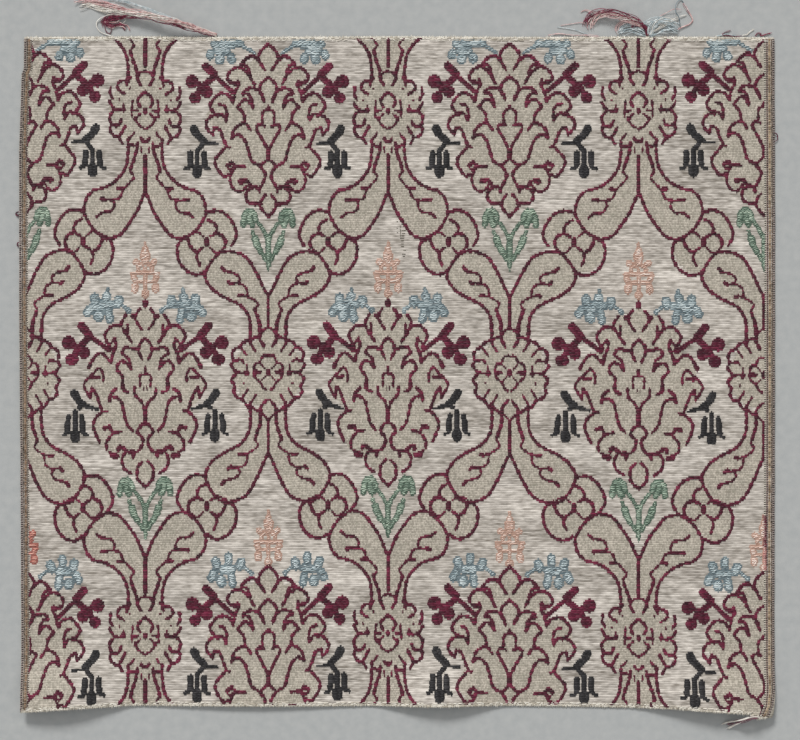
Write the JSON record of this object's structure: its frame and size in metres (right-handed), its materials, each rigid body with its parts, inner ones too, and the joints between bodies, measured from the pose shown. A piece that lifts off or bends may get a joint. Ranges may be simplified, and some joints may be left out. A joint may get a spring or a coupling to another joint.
{
  "type": "brocade panel",
  "caption": "Flat loom-width panel of patterned silk with woven selvedges, cut ends and loose thread ends; lies or hangs as a cloth.",
  "frame": {"origin": "on the flat underside, below the middle of the cloth", "axes": "+X across the loom width towards the right selvedge, +Y up the pattern towards the end with the long loose threads, +Z out of the face"},
  "size_m": [0.5423, 0.529, 0.0103],
  "materials": {
    "brocade": "silver-cream silk and metal thread ground with crimson, grey, blue, green and peach brocading",
    "loose_silk_pink": "loose floss silk, pink, cream and crimson",
    "loose_silk_crimson": "loose floss silk, crimson and plum",
    "loose_silk_pale": "loose floss silk, blue-grey and white"
  },
  "bodies": {
    "root": {"panel": "brocade", "skein_top_left": "loose_silk_pink", "skein_top_right_red": "loose_silk_crimson", "skein_top_right_pale": "loose_silk_pale", "wisp_top_right": "loose_silk_pale", "tail_bottom_right": "loose_silk_crimson"}
  },
  "joints": []
}
